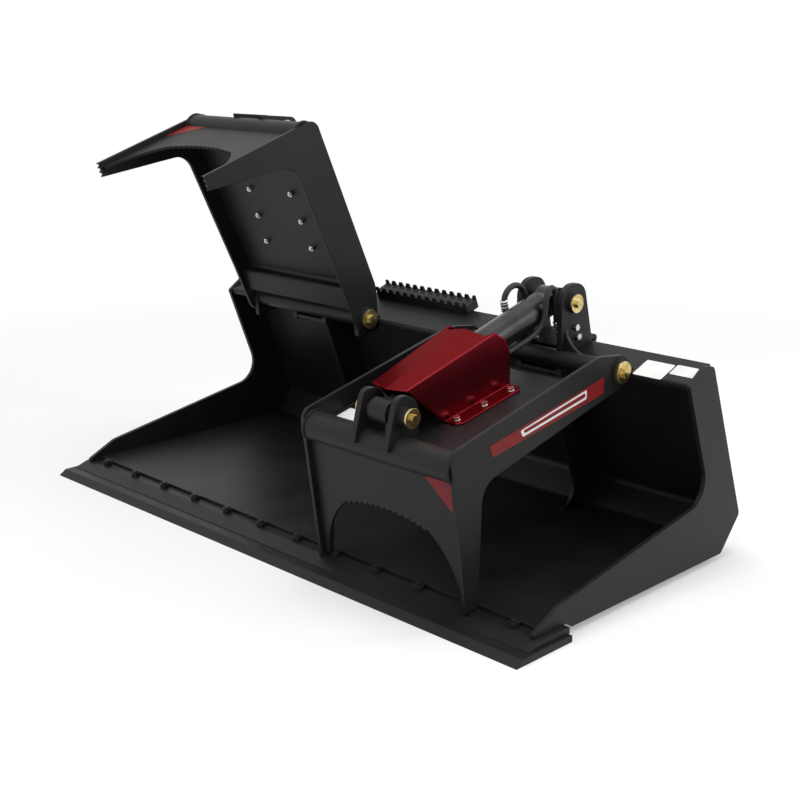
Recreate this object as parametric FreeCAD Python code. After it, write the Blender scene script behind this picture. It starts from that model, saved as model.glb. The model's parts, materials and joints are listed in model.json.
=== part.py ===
import FreeCAD, Part
import math
import os

os.makedirs("parts", exist_ok=True)

# All lengths are millimetres.
# X runs across the bucket, Y runs from the cutting edge (negative) to the machine side (positive), Z is up.
# The origin is on the ground, at the middle of the wear runners.

# Driving dimensions of the bucket
bucket_width = 1829.0
side_thickness = 12.0
shell_thickness = 8.0
floor_underside = 32.0
plate_standout = 14.0
shell_front = -333.0
side_front = -371.0
side_front_height = 42.0
side_kink = (-279.0, 86.0)
side_notch = (322.0, 191.0)
side_notch_radius = 70.0
side_top_front = (206.0, 504.0)
side_top_peak = (268.0, 546.0)
heel_rear = (471.0, 109.0)
heel_bottom = 402.7
back_height = 465.0
back_lean = 20.7

# Driving dimensions of the cutting edges and their bolts
edge_thickness = 16.0
base_edge_tip = -409.0
base_edge_rear = -264.0
base_edge_bevel = 43.5
base_edge_length = 1863.0
wear_edge_tip = -462.0
wear_edge_rear = -267.0
wear_edge_bevel = 22.0
wear_edge_length = 1884.0
edge_nose = 1.5
edge_bolt_count = 12
edge_bolt_pitch = 152.4
edge_bolt_line = -350.0
edge_bolt_diameter = 15.9
edge_nut_flats = 24.0
edge_nut_height = 13.0
bolt_hole_clearance = 0.3

# Driving dimensions of the stiffeners, step and machine mounting
runner_width = 76.0
runner_places = (-760.0, -380.0, 0.0, 380.0, 760.0)
runner_rear = 392.0
rib_place = 450.0
rib_thickness = 10.0
rib_depth = 93.0
rib_foot = 306.0
top_thickness = 10.0
top_lip_height = 17.0
hook_width = 1040.0
hook_reach = 58.0
mounting_width = 1143.0
mounting_thickness = 8.0
mounting_bottom = 62.0
rail_reach = 40.0
rail_thickness = 12.0
rail_slot_place = 457.0
rail_slot_length = 50.0
rail_slot_width = 28.0
slot_cut_length = 80.0
step_left = -292.0
step_right = 82.0
step_thickness = 5.0
step_web_height = 22.0
step_flange_height = 38.0
step_tooth_pitch = 30.5
step_tooth_depth = 12.0

# Driving dimensions of the grapples
grapple_centre = 462.5
grapple_width = 515.0
grapple_plate = 10.0
open_angle = 79.5
pivot = (182.0, 514.0)
pivot_end_radius = 38.0
pivot_pin_diameter = 31.75
pivot_boss_radius = 33.0
pivot_boss_height = 8.0
pivot_washer_radius = 29.0
pivot_tube_diameter = 50.0
pivot_tube_wall = 6.0
lug_thickness = 16.0
lug_play = 3.0
swing_notch_depth = 20.0
swing_notch_play = 2.0
knee = (-439.0, 437.0)
knee_radius = 32.0
arm_rear = (98.0, 567.0)
arm_rear_radius = 90.0
tip_front = (-383.0, 29.5)
tip_rear = (-342.0, 36.0)
crook = (-330.5, 338.0)
arm_under = (64.0, 440.0)
skin_thickness = 8.0
skin_recess = 60.0
skin_front = -361.8
skin_rear = 80.0
skin_bend = 18.0
skin_end = (142.0, 479.0)
front_plate_inset = 15.0
front_plate_thickness = 8.0
front_plate_bottom = 46.0
arch_top = 237.0
arch_shoulder = (140.0, 217.0)
arch_waist = (203.0, 148.0)
arch_foot = (233.0, 50.0)
arch_tooth_count = 14
arch_tooth_depth = 8.0

# Driving dimensions of the knuckle and the cylinder
knuckle_pivot = (-392.0, 478.0)
knuckle_tube_place = (-400.0, 393.0)
knuckle_tube_diameter = 76.0
knuckle_tube_wall = 8.0
knuckle_gap = 96.0
ear_thickness = 16.0
ear_slant = 35.0
ear_boss_radius = 22.0
outer_boss = 25.0
inner_boss = 8.0
pin_washer_radius = 24.5
pin_washer_thickness = 5.0
pin_head_flats = 20.0
pin_head_height = 8.0
cylinder_base = (218.0, 660.0)
cylinder_ear_gap = 120.0
cylinder_ear_radius = 50.0
cylinder_ear_front = 47.0
ear_boss_height = 10.0
ear_bolt_places = ((230.0, 594.0), (239.0, 567.0))
cylinder_pin_diameter = 25.4
barrel_diameter = 78.0
barrel_wall = 7.0
barrel_floor = 14.0
barrel_start = 50.0
barrel_end = 385.0
gland_length = 15.0
base_eye_radius = 34.0
base_eye_width = 60.0
base_hub_radius = 16.0
rod_diameter = 38.0
rod_eye_radius = 30.0
rod_eye_width = 60.0
rod_length = 302.0
piston_length = 25.0
base_port_place = 120.0
rod_port_place = 350.0
port_radius = 11.0
port_reach = 6.0
hose_diameter = 16.0
elbow_radius = 7.0
elbow_reach = 20.0
rod_port_drop = 60.0
collar_flats = 18.0
collar_height = 8.0
hose_lead = 26.0
block_height = 34.0
block_front = -95.0
block_rear = -20.0
block_half = 54.0
pipe_place = 44.0
pipe_depth = -85.0
pipe_length = 46.0

# Driving dimensions of the cylinder guard: x is measured from the middle of the grapple, outward
guard_thickness = 5.0
guard_outer_front = (45.5, -366.7, 530.8)
guard_outer_rear = (61.5, -71.5, 624.7)
guard_fold_front = (-14.4, -376.0)
guard_fold_rear = (-32.0, -78.0)
guard_fold_fall = 0.09
guard_inner_front = (-80.0, -357.0)
guard_inner_rear = (-98.0, -70.0)
guard_notch_depth = 20.0
guard_notch_lead = 18.0
guard_foot_front = -238.0
guard_foot_rear = -15.0
guard_chamfer_high = (-35.7, 603.9)
guard_chamfer_low = (-17.0, 568.0)
guard_flange = 46.0
guard_flange_corner = 14.0
guard_outer_bolts = (73.5, 91.5)
guard_inner_bolts = (-116.5, -118.5)
guard_bolt_span = (-219.5, -42.0)
guard_bolt_diameter = 10.0
guard_bolt_flats = 16.0

# Fits
running_fit = 0.05
pin_side_gap = 0.6
tube_touch = 0.1


def vec(x, point):
    return FreeCAD.Vector(x, point[0], point[1])


def unit(a, b):
    length = math.hypot(b[0] - a[0], b[1] - a[1])
    return ((b[0] - a[0]) / length, (b[1] - a[1]) / length)


def rounded_wire(corners, place):
    """Closed wire of straight edges with rounded corners (u, v, radius); place maps (u, v) to a point."""
    edges = []
    starts = []
    ends = []
    middles = []
    count = len(corners)
    for index, corner in enumerate(corners):
        here = (corner[0], corner[1])
        radius = corner[2] if len(corner) > 2 else 0.0
        before = unit(here, corners[index - 1])
        after = unit(here, corners[(index + 1) % count])
        dot = max(-1.0, min(1.0, before[0] * after[0] + before[1] * after[1]))
        half = math.acos(dot) / 2.0
        if radius <= 0.0 or half > math.pi / 2.0 - 1e-4:
            starts.append(here)
            ends.append(here)
            middles.append(None)
            continue
        reach = radius / math.tan(half)
        bisector = (before[0] + after[0], before[1] + after[1])
        size = math.hypot(bisector[0], bisector[1])
        depth = radius / math.sin(half) - radius
        starts.append((here[0] + before[0] * reach, here[1] + before[1] * reach))
        ends.append((here[0] + after[0] * reach, here[1] + after[1] * reach))
        middles.append((here[0] + bisector[0] / size * depth, here[1] + bisector[1] / size * depth))
    for index in range(count):
        if middles[index] is not None:
            arc = Part.Arc(place(starts[index]), place(middles[index]), place(ends[index]))
            edges.append(arc.toShape())
        following = (index + 1) % count
        a = place(ends[index])
        b = place(starts[following])
        if a.distanceToPoint(b) > 1e-6:
            edges.append(Part.makeLine(a, b))
    return Part.Wire(edges)


def plate(corners, x_low, x_high):
    """Flat plate: an outline in the Y-Z plane, as thick as the X range."""
    wire = rounded_wire(corners, lambda p: vec(x_low, p))
    return Part.Face(wire).extrude(FreeCAD.Vector(x_high - x_low, 0, 0))


def offset_path(path, distance):
    """The path moved sideways to its left by distance, keeping its corners mitred."""
    moved = []
    for index, point in enumerate(path):
        normals = []
        if index > 0:
            along = unit(path[index - 1], point)
            normals.append((-along[1], along[0]))
        if index < len(path) - 1:
            along = unit(point, path[index + 1])
            normals.append((-along[1], along[0]))
        normal = (sum(n[0] for n in normals), sum(n[1] for n in normals))
        size = math.hypot(normal[0], normal[1])
        normal = (normal[0] / size, normal[1] / size)
        stretch = normal[0] * normals[0][0] + normal[1] * normals[0][1]
        moved.append((point[0] + normal[0] * distance / stretch, point[1] + normal[1] * distance / stretch))
    return moved


def bent_sheet(path, thickness, x_low, x_high):
    """Sheet bent along a path of (y, z, outer bend radius); the thickness lies to the left of the path."""
    inner = offset_path([(p[0], p[1]) for p in path], thickness)
    corners = list(path)
    for index in range(len(path) - 1, -1, -1):
        radius = path[index][2] if len(path[index]) > 2 else 0.0
        before = path[index - 1] if index > 0 else None
        after = path[index + 1] if index < len(path) - 1 else None
        inner_radius = 0.0
        if radius > 0.0 and before is not None and after is not None:
            cross = ((path[index][0] - before[0]) * (after[1] - path[index][1])
                     - (path[index][1] - before[1]) * (after[0] - path[index][0]))
            inner_radius = radius - thickness if cross > 0 else radius + thickness
        corners.append((inner[index][0], inner[index][1], max(inner_radius, 0.0)))
    return plate(corners, x_low, x_high)


def box(x_low, x_high, y_low, y_high, z_low, z_high):
    corner = FreeCAD.Vector(x_low, y_low, z_low)
    return Part.makeBox(x_high - x_low, y_high - y_low, z_high - z_low, corner)


def bar_x(centre, radius, x_low, x_high):
    """Round bar along X at centre (y, z)."""
    return Part.makeCylinder(radius, x_high - x_low, vec(x_low, centre), FreeCAD.Vector(1, 0, 0))


def hexagon(centre, axis, flats, height):
    """Hexagon prism that starts at centre and runs along axis."""
    axis = FreeCAD.Vector(axis).normalize()
    helper = FreeCAD.Vector(0, 0, 1) if abs(axis.z) < 0.9 else FreeCAD.Vector(1, 0, 0)
    side = axis.cross(helper).normalize()
    other = axis.cross(side)
    radius = flats / math.sqrt(3.0)
    corners = []
    for step in range(7):
        angle = math.radians(60.0 * (step % 6))
        corners.append(centre + side * (radius * math.cos(angle)) + other * (radius * math.sin(angle)))
    return Part.Face(Part.makePolygon(corners)).extrude(axis * height)


def solids_of(shapes):
    return Part.makeCompound([solid for shape in shapes for solid in shape.Solids])


def mirrored(shape):
    return shape.mirror(FreeCAD.Vector(0, 0, 0), FreeCAD.Vector(1, 0, 0))


def both_sides(shapes):
    return list(shapes) + [mirrored(shape) for shape in shapes]


nodes = {}


# Back of the bucket: places on it are given as a height up the leaning back and a depth behind it
lean = math.radians(back_lean)
back_up = (-math.sin(lean), math.cos(lean))
back_out = (math.cos(lean), math.sin(lean))


def on_back(depth, height):
    return (heel_rear[0] + back_up[0] * height + back_out[0] * depth,
            heel_rear[1] + back_up[1] * height + back_out[1] * depth)


def pivot_depth():
    """How far the grapple pivot lies in front of the back, measured square to it."""
    return ((heel_rear[0] - pivot[0]) * back_out[0] + (heel_rear[1] - pivot[1]) * back_out[1])


inner_half = bucket_width / 2.0 - side_thickness
floor_top = floor_underside + shell_thickness
tube_radius = pivot_tube_diameter / 2.0
top_front = -(pivot_depth() - tube_radius - tube_touch)
top_under = back_height - top_thickness


def make_shell():
    start = (shell_front, floor_underside)
    bottom = (heel_bottom, floor_underside, 24.0)
    heel = (heel_rear[0], heel_rear[1], 30.0)
    return bent_sheet([start, bottom, heel, on_back(0, top_under)], shell_thickness, -inner_half, inner_half)


def make_side_plate():
    rear_top = on_back(0, back_height - 5.0)
    bottom = floor_underside - plate_standout
    corners = [
        (side_front, floor_underside),
        (side_front, side_front_height),
        (side_kink[0], side_kink[1], 60.0),
        (side_notch[0], side_notch[1], side_notch_radius),
        (side_top_front[0], side_top_front[1], 6.0),
        (side_top_peak[0], side_top_peak[1], 14.0),
        (rear_top[0], rear_top[1], 20.0),
        (heel_rear[0], heel_rear[1], 14.0),
        (heel_rear[0] - (heel_rear[1] - bottom) * 0.87, bottom, 14.0),
        (base_edge_rear + 30.0, bottom),
        (base_edge_rear + 8.0, floor_underside),
    ]
    return plate(corners, inner_half, inner_half + side_thickness)


def bolt_places():
    first = -(edge_bolt_count - 1) / 2.0 * edge_bolt_pitch
    return [first + index * edge_bolt_pitch for index in range(edge_bolt_count)]


def make_edge(tip, rear, bevel, length, bottom):
    corners = [
        (tip, bottom),
        (tip, bottom + edge_nose),
        (tip + bevel, bottom + edge_thickness),
        (rear, bottom + edge_thickness),
        (rear, bottom),
    ]
    edge = plate(corners, -length / 2.0, length / 2.0)
    for x in bolt_places():
        hole = Part.makeCylinder(edge_bolt_diameter / 2.0 + bolt_hole_clearance, edge_thickness + 2.0,
                                 FreeCAD.Vector(x, edge_bolt_line, bottom - 1.0))
        edge = edge.cut(hole)
    return edge


def make_edge_bolts():
    bolts = []
    for x in bolt_places():
        length = floor_underside + edge_nut_height + 4.0
        shank = Part.makeCylinder(edge_bolt_diameter / 2.0, length, FreeCAD.Vector(x, edge_bolt_line, 0.5))
        bolts.append(shank)
    return solids_of(bolts)


def make_edge_nuts():
    nuts = []
    for x in bolt_places():
        centre = FreeCAD.Vector(x, edge_bolt_line, floor_underside)
        nut = hexagon(centre, (0, 0, 1), edge_nut_flats, edge_nut_height)
        crown = Part.makeCone(edge_nut_flats, edge_nut_flats / 2.0, edge_nut_height * 1.2, centre)
        bore = Part.makeCylinder(edge_bolt_diameter / 2.0 + running_fit, edge_nut_height + 2.0,
                                 centre - FreeCAD.Vector(0, 0, 1))
        nuts.append(nut.common(crown).cut(bore))
    return solids_of(nuts)


def make_runners():
    corners = [
        (base_edge_rear + 12.0, 0.0, 3.0),
        (base_edge_rear + 12.0, floor_underside),
        (runner_rear, floor_underside),
        (runner_rear - floor_underside, 0.0, 20.0),
    ]
    runners = []
    for place in runner_places:
        runners.append(plate(corners, place - runner_width / 2.0, place + runner_width / 2.0))
    return solids_of(runners)


def make_ribs(top_bar):
    inner = offset_path([(shell_front, floor_underside), (heel_bottom, floor_underside),
                         heel_rear, on_back(0, top_under)], shell_thickness)
    front_top = on_back(-(shell_thickness + rib_depth), top_under)
    front_low = on_back(-(shell_thickness + rib_depth), 10.0)
    corners = [
        (inner[1][0], inner[1][1], 24.0 - shell_thickness),
        (inner[2][0], inner[2][1], 30.0 - shell_thickness),
        inner[3],
        front_top,
        (front_low[0], front_low[1] - 12.0, 62.0),
        (rib_foot, floor_top + 1.5),
        (rib_foot, floor_top),
    ]
    rib = plate(corners, rib_place - rib_thickness / 2.0, rib_place + rib_thickness / 2.0)
    return solids_of(both_sides([rib.cut(top_bar)]))


# Grapple places across the bucket
plate_outer = grapple_width / 2.0
plate_inner = plate_outer - grapple_plate
lug_outer = plate_inner - lug_play
lug_inner = lug_outer - lug_thickness


def make_top_bar():
    half = inner_half
    bar = bent_sheet([on_back(top_front, back_height - top_lip_height),
                      (*on_back(top_front, back_height), 8.0),
                      on_back(0, back_height)][::-1], top_thickness, -half, half)
    for side in (-1, 1):
        for edge in (-1, 1):
            boss_face = plate_outer + pivot_boss_height
            middle = side * grapple_centre + edge * (boss_face + plate_inner) / 2.0
            wide = (boss_face - plate_inner) / 2.0 + swing_notch_play
            corners = [on_back(top_front - 5.0, back_height + 5.0),
                       on_back(top_front + swing_notch_depth, back_height + 5.0),
                       on_back(top_front + swing_notch_depth, back_height - top_lip_height - 5.0),
                       on_back(top_front - 5.0, back_height - top_lip_height - 5.0)]
            bar = bar.cut(plate(corners, middle - wide, middle + wide))
    return bar


def make_pivot_tube():
    tube = bar_x(pivot, tube_radius, grapple_centre - lug_inner, grapple_centre + lug_inner)
    inside = tube_radius - pivot_tube_wall
    bore = bar_x(pivot, inside, grapple_centre - lug_inner, grapple_centre + lug_inner)
    return tube.cut(bore)


def make_lug(top_bar):
    corners = [
        (pivot[0] - 31.0, pivot[1] + 31.0, 30.0),
        (pivot[0] - 24.0, pivot[1] - 58.0, 6.0),
        on_back(top_front + 8.0, top_under - 34.0),
        on_back(-40.0, top_under),
        on_back(top_front + top_thickness, top_under),
        on_back(top_front, back_height),
        (pivot[0] + 20.0, pivot[1] + 31.0, 20.0),
    ]
    lugs = []
    for edge in (-1, 1):
        low = grapple_centre + min(edge * lug_inner, edge * lug_outer)
        lug = plate(corners, low, low + lug_thickness).cut(top_bar)
        hole = bar_x(pivot, pivot_pin_diameter / 2.0 + running_fit, low - 1.0, low + lug_thickness + 1.0)
        lugs.append(lug.cut(hole))
    return lugs


ear_inner = cylinder_ear_gap / 2.0
ear_outer = ear_inner + ear_thickness


def make_cylinder_ears(top_bar):
    front = cylinder_base[0] - cylinder_ear_front
    top = cylinder_base[1] + cylinder_ear_radius
    foot = on_back(-2.0, back_height)
    corners = [
        (front, top, cylinder_ear_front),
        (cylinder_base[0] + cylinder_ear_radius - 4.0, top, cylinder_ear_radius - 6.0),
        foot,
        on_back(-30.0, top_under),
        on_back(top_front + 6.0, top_under - 30.0),
        (front + 4.0, pivot[1] - 48.0, 5.0),
    ]
    swept = bar_x(pivot, tube_radius + tube_touch, 0.0, bucket_width / 2.0)
    ears = []
    for edge in (-1, 1):
        low = grapple_centre + min(edge * ear_inner, edge * ear_outer)
        ear = plate(corners, low, low + ear_thickness).cut(top_bar).cut(swept)
        boss_low = grapple_centre + min(edge * ear_outer, edge * (ear_outer + ear_boss_height))
        boss = bar_x(cylinder_base, ear_boss_radius + 4.0, boss_low, boss_low + ear_boss_height)
        hole = bar_x(cylinder_base, cylinder_pin_diameter / 2.0 + running_fit, 0.0, bucket_width / 2.0)
        ears.append(ear.fuse(boss).cut(hole))
    saddle = box(grapple_centre - ear_inner, grapple_centre + ear_inner,
                 front + 6.0, pivot[0] + 18.0, pivot[1] - 42.0, pivot[1] - 32.0)
    ears.append(saddle)
    return ears


def make_ear_gussets():
    """Curved braces that hold each ear upright on the pivot tube."""
    gussets = []
    reach = 74.0
    height = 74.0
    y_low = pivot[0] + 6.0
    base = pivot[1] + 5.0
    for edge in (-1, 1):
        start = grapple_centre + edge * ear_outer
        a = FreeCAD.Vector(start, y_low, base)
        b = FreeCAD.Vector(start, y_low, base + height)
        c = FreeCAD.Vector(start + edge * reach, y_low, base + 14.0)
        d = FreeCAD.Vector(start + edge * reach, y_low, base)
        middle = FreeCAD.Vector(start + edge * reach * 0.36, y_low, base + height * 0.42)
        curve = Part.Arc(b, middle, c).toShape()
        wire = Part.Wire([Part.makeLine(a, b), curve, Part.makeLine(c, d), Part.makeLine(d, a)])
        gusset = Part.Face(wire).extrude(FreeCAD.Vector(0, 10.0, 0))
        gussets.append(gusset.cut(bar_x(pivot, tube_radius + tube_touch, 0.0, bucket_width / 2.0)))
    return gussets


def make_mounting_plate():
    corners = [
        on_back(0, mounting_bottom),
        on_back(mounting_thickness, mounting_bottom),
        on_back(mounting_thickness, back_height - hook_reach + mounting_thickness - 4.0),
        on_back(0, back_height - hook_reach + mounting_thickness - 4.0),
    ]
    return plate(corners, -mounting_width / 2.0, mounting_width / 2.0)


def make_top_hook():
    path = [on_back(0, back_height), (*on_back(hook_reach, back_height), 12.0),
            on_back(mounting_thickness, back_height - hook_reach + mounting_thickness)]
    sheet = bent_sheet(path[::-1], top_thickness, -hook_width / 2.0, hook_width / 2.0)
    return sheet


def make_lower_rail(shell, mounting):
    top = on_back(mounting_thickness, mounting_bottom)
    low = on_back(mounting_thickness + rail_reach, mounting_bottom - rail_reach)
    half = mounting_width / 2.0
    rail = bent_sheet([top, low][::-1], rail_thickness, -half, half).cut(shell).cut(mounting)
    middle = ((top[0] + low[0]) / 2.0, (top[1] + low[1]) / 2.0)
    along = unit(top, low)
    across = FreeCAD.Vector(0, -along[1], along[0])
    for side in (-1, 1):
        run = rail_slot_length / 2.0 - rail_slot_width / 2.0
        a = vec(side * rail_slot_place - run, middle) - across * (slot_cut_length / 2.0)
        slot = Part.makeCylinder(rail_slot_width / 2.0, slot_cut_length, a, across)
        b = a + FreeCAD.Vector(2.0 * run, 0, 0)
        slot = slot.fuse(Part.makeCylinder(rail_slot_width / 2.0, slot_cut_length, b, across))
        reach = FreeCAD.Vector(0, along[0], along[1]) * (rail_slot_width / 2.0)
        face = Part.Face(Part.makePolygon([a + reach, b + reach, b - reach, a - reach, a + reach]))
        slot = slot.fuse(face.extrude(across * slot_cut_length))
        rail = rail.cut(slot)
    gussets = []
    low_height = mounting_bottom - rail_reach - 8.0
    corners = [on_back(0.0, mounting_bottom - 16.0), on_back(rail_reach, low_height)]
    corners.append(on_back(0.0, low_height))
    for x in (-half, -rail_slot_place + 60.0, rail_slot_place - 70.0, half - 10.0):
        gussets.append(plate(corners, x, x + 10.0).cut(rail))
    return solids_of([rail] + gussets)


def make_step():
    base = back_height
    web = base + step_web_height
    tip = base + step_flange_height
    front = 6.0
    rear = hook_reach - 2.0
    walls = [
        [(front, base), (front + step_thickness, base), (front + step_thickness, tip), (front, tip)],
        [(rear - step_thickness, base), (rear, base), (rear, tip), (rear - step_thickness, tip)],
        [(front, web), (rear, web), (rear, web + step_thickness), (front, web + step_thickness)],
    ]
    step = None
    for wall in walls:
        piece = plate([on_back(*corner) for corner in wall], step_left, step_right)
        step = piece if step is None else step.fuse(piece)
    cap = [(front, base), (rear, base), (rear, web), (front, web)]
    for x in (step_left, step_right - step_thickness):
        step = step.fuse(plate([on_back(*corner) for corner in cap], x, x + step_thickness))
    count = int((step_right - step_left) / step_tooth_pitch)
    first = (step_left + step_right) / 2.0 - (count - 1) / 2.0 * step_tooth_pitch
    for index in range(count):
        middle = first + index * step_tooth_pitch
        corners = [
            (middle - 6.0, tip - step_tooth_depth),
            (middle + 6.0, tip - step_tooth_depth),
            (middle + 10.0, tip + 2.0),
            (middle - 10.0, tip + 2.0),
        ]
        points = [vec(x, on_back(front - 2.0, height)) for x, height in corners]
        points.append(points[0])
        run = FreeCAD.Vector(0, back_out[0], back_out[1]) * (rear - front + 4.0)
        step = step.cut(Part.Face(Part.makePolygon(points)).extrude(run))
    return step.removeSplitter()


# Closed grapple, drawn at the right-hand place
arm_slope = (arm_rear[1] - knee[1]) / (arm_rear[0] - knee[0])
front_slope = (tip_front[0] - knee[0]) / (knee[1] - tip_front[1])
arm_angle = math.atan(arm_slope)


def skin_height(y):
    """Height of the skin plate's top face at y."""
    return arm_rear[1] + arm_slope * (y - arm_rear[0]) - skin_recess


def make_grapple_plate(outer_edge):
    tooth = (tip_rear[0] - tip_front[0]) / 6.0
    corners = [
        (arm_rear[0], arm_rear[1], arm_rear_radius),
        (knee[0], knee[1], knee_radius),
        (tip_front[0], tip_front[1]),
    ]
    for index in range(1, 6):
        rise = (tip_rear[1] - tip_front[1]) * index / 6.0
        notch = 8.0 if index % 2 else 0.0
        corners.append((tip_front[0] + tooth * index, tip_front[1] + rise + notch))
    corners += [
        (tip_rear[0], tip_rear[1]),
        (crook[0], crook[1], 60.0),
        (arm_under[0], arm_under[1], 150.0),
        (pivot[0] + pivot_end_radius, pivot[1] - pivot_end_radius, pivot_end_radius),
        (pivot[0] + pivot_end_radius, pivot[1] + pivot_end_radius, pivot_end_radius),
    ]
    low = grapple_centre + min(outer_edge * plate_inner, outer_edge * plate_outer)
    body = plate(corners, low, low + grapple_plate)
    boss_face = plate_outer + pivot_boss_height
    boss_low = grapple_centre + min(outer_edge * plate_outer, outer_edge * boss_face)
    body = body.fuse(bar_x(pivot, pivot_boss_radius, boss_low, boss_low + pivot_boss_height))
    hole = bar_x(pivot, pivot_pin_diameter / 2.0 + running_fit, low - 10.0, low + grapple_plate + 10.0)
    return body.cut(hole)


def make_pivot_pins():
    pins = []
    for edge in (-1, 1):
        a = grapple_centre + edge * (lug_inner - 12.0)
        b = grapple_centre + edge * (plate_outer + pivot_boss_height)
        pin = bar_x(pivot, pivot_pin_diameter / 2.0, min(a, b), max(a, b))
        c = b + edge * 7.0
        washer = bar_x(pivot, pivot_washer_radius, min(b, c), max(b, c))
        head = hexagon(vec(c, pivot), (edge, 0, 0), 24.0, 9.0)
        pins.append(pin.fuse(washer).fuse(head))
    return solids_of(pins)


def make_skin():
    """Skin plate with a step down at its rear end, which clears the cylinder's ears in the open grapple."""
    path = [(skin_end[0], skin_end[1]),
            (skin_rear + 2.0, skin_end[1] - 7.0, 4.0),
            (skin_rear, skin_height(skin_rear), skin_bend),
            (skin_front, skin_height(skin_front))]
    return bent_sheet(path, skin_thickness, grapple_centre - plate_inner, grapple_centre + plate_inner)


def make_knuckle_tube():
    low = grapple_centre - plate_inner
    high = grapple_centre + plate_inner
    radius = knuckle_tube_diameter / 2.0
    tube = bar_x(knuckle_tube_place, radius, low, high)
    return tube.cut(bar_x(knuckle_tube_place, radius - knuckle_tube_wall, low, high))


def make_front_plate(tube_solid):
    """Serrated plate between the two tines, hung under the knuckle tube."""
    def place(point):
        y = knee[0] + front_slope * (knee[1] - point[1]) + front_plate_inset
        return FreeCAD.Vector(grapple_centre + point[0], y, point[1])
    top = knuckle_tube_place[1] - 30.0
    points = [(-plate_inner, front_plate_bottom), (-plate_inner, top), (plate_inner, top),
              (plate_inner, front_plate_bottom), (arch_foot[0], front_plate_bottom)]
    edges = [Part.makeLine(place(a), place(b)) for a, b in zip(points[:-1], points[1:])]
    foot = (arch_foot[0], front_plate_bottom)
    edges.append(Part.Arc(place(foot), place(arch_waist), place(arch_shoulder)).toShape())
    rise = arch_top - arch_shoulder[1]
    radius = (arch_shoulder[0] ** 2 + rise ** 2) / (2.0 * rise)
    teeth = [arch_shoulder]
    pitch = 2.0 * arch_shoulder[0] / arch_tooth_count
    for index in range(arch_tooth_count):
        for part, depth in ((0.5, arch_tooth_depth), (1.0, 0.0)):
            x = arch_shoulder[0] - pitch * (index + part)
            height = arch_top - radius + math.sqrt(radius ** 2 - x ** 2)
            teeth.append((x, height - depth))
    teeth[-1] = (-arch_shoulder[0], arch_shoulder[1])
    edges += [Part.makeLine(place(a), place(b)) for a, b in zip(teeth[:-1], teeth[1:])]
    left_waist = (-arch_waist[0], arch_waist[1])
    left_foot = (-arch_foot[0], front_plate_bottom)
    edges.append(Part.Arc(place(teeth[-1]), place(left_waist), place(left_foot)).toShape())
    edges.append(Part.makeLine(place(left_foot), place(points[0])))
    tilt = math.atan(front_slope)
    back = FreeCAD.Vector(0, math.cos(tilt), math.sin(tilt)) * front_plate_thickness
    return Part.Face(Part.Wire(edges)).extrude(back).cut(tube_solid)


def make_knuckle_ears(cutters):
    half = knuckle_gap / 2.0
    top = knuckle_pivot[1] + 48.0
    front = knuckle_tube_place[0] - 49.0
    rear = knuckle_pivot[0] + 48.0
    corners = [
        (front, knuckle_tube_place[1] + 7.0, 2.0),
        (front + ear_slant, top, 24.0),
        (rear, top, 46.0),
        (rear, skin_height(rear) - 2.0, 2.0),
        (knuckle_tube_place[0] + 20.0, knuckle_tube_place[1]),
        (knuckle_tube_place[0] - 20.0, knuckle_tube_place[1] + 7.0),
    ]
    ears = []
    hole = bar_x(knuckle_pivot, cylinder_pin_diameter / 2.0 + running_fit, 0.0, bucket_width)
    for edge in (-1, 1):
        low = grapple_centre + min(edge * half, edge * (half + ear_thickness))
        ear = plate(corners, low, low + ear_thickness)
        for cutter in cutters:
            ear = ear.cut(cutter)
        a = grapple_centre + edge * (half + ear_thickness)
        b = a + edge * (outer_boss if edge > 0 else inner_boss)
        ear = ear.fuse(bar_x(knuckle_pivot, ear_boss_radius, min(a, b), max(a, b))).cut(hole)
        ears.append(ear)
    return solids_of(ears)


def make_knuckle_pin():
    """Pin through both ears and the rod eye, with a washer and a bolt head at each end."""
    half = knuckle_gap / 2.0 + ear_thickness
    pin = bar_x(knuckle_pivot, cylinder_pin_diameter / 2.0,
                grapple_centre - half - inner_boss, grapple_centre + half + outer_boss)
    for edge, boss in ((-1, inner_boss), (1, outer_boss)):
        outside = grapple_centre + edge * (half + boss)
        face = outside + edge * pin_washer_thickness
        pin = pin.fuse(bar_x(knuckle_pivot, pin_washer_radius, min(outside, face), max(outside, face)))
        pin = pin.fuse(hexagon(vec(face, knuckle_pivot), (edge, 0, 0), pin_head_flats, pin_head_height))
    return pin


def guard_top_height(y):
    """Height of the guard's level top facet at y."""
    slope = (guard_outer_rear[2] - guard_outer_front[2]) / (guard_outer_rear[1] - guard_outer_front[1])
    return guard_outer_front[2] + slope * (y - guard_outer_front[1])


def between(y, front, rear, item=0):
    """Value at y on the straight line from front to rear, whose second items are their y."""
    return front[item] + (rear[item] - front[item]) * (y - front[1]) / (rear[1] - front[1])


def on_guard_top(x, y):
    """Point on the guard's top, which falls away from the fold toward the inner side."""
    fall = max(0.0, between(y, guard_fold_front, guard_fold_rear) - x) * guard_fold_fall
    return FreeCAD.Vector(grapple_centre + x, y, guard_top_height(y) - fall)


def guard_side(edge):
    """Front and rear ends of the upright side panel's top bend, inner (-1) or outer (1)."""
    if edge > 0:
        return guard_outer_front, guard_outer_rear
    return guard_inner_front, guard_inner_rear


def on_guard_side(edge, y, z):
    front, rear = guard_side(edge)
    return FreeCAD.Vector(grapple_centre + between(y, front, rear), y, z)


def sheet_facet(points, into):
    """Flat facet of the guard through the points, as thick as its sheet, toward the side of into."""
    normal = (points[1] - points[0]).cross(points[2] - points[0]).normalize()
    if normal.dot(into) < 0:
        normal = normal * -1.0
    return Part.Face(Part.makePolygon(points + points[:1])).extrude(normal * guard_thickness)


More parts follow.
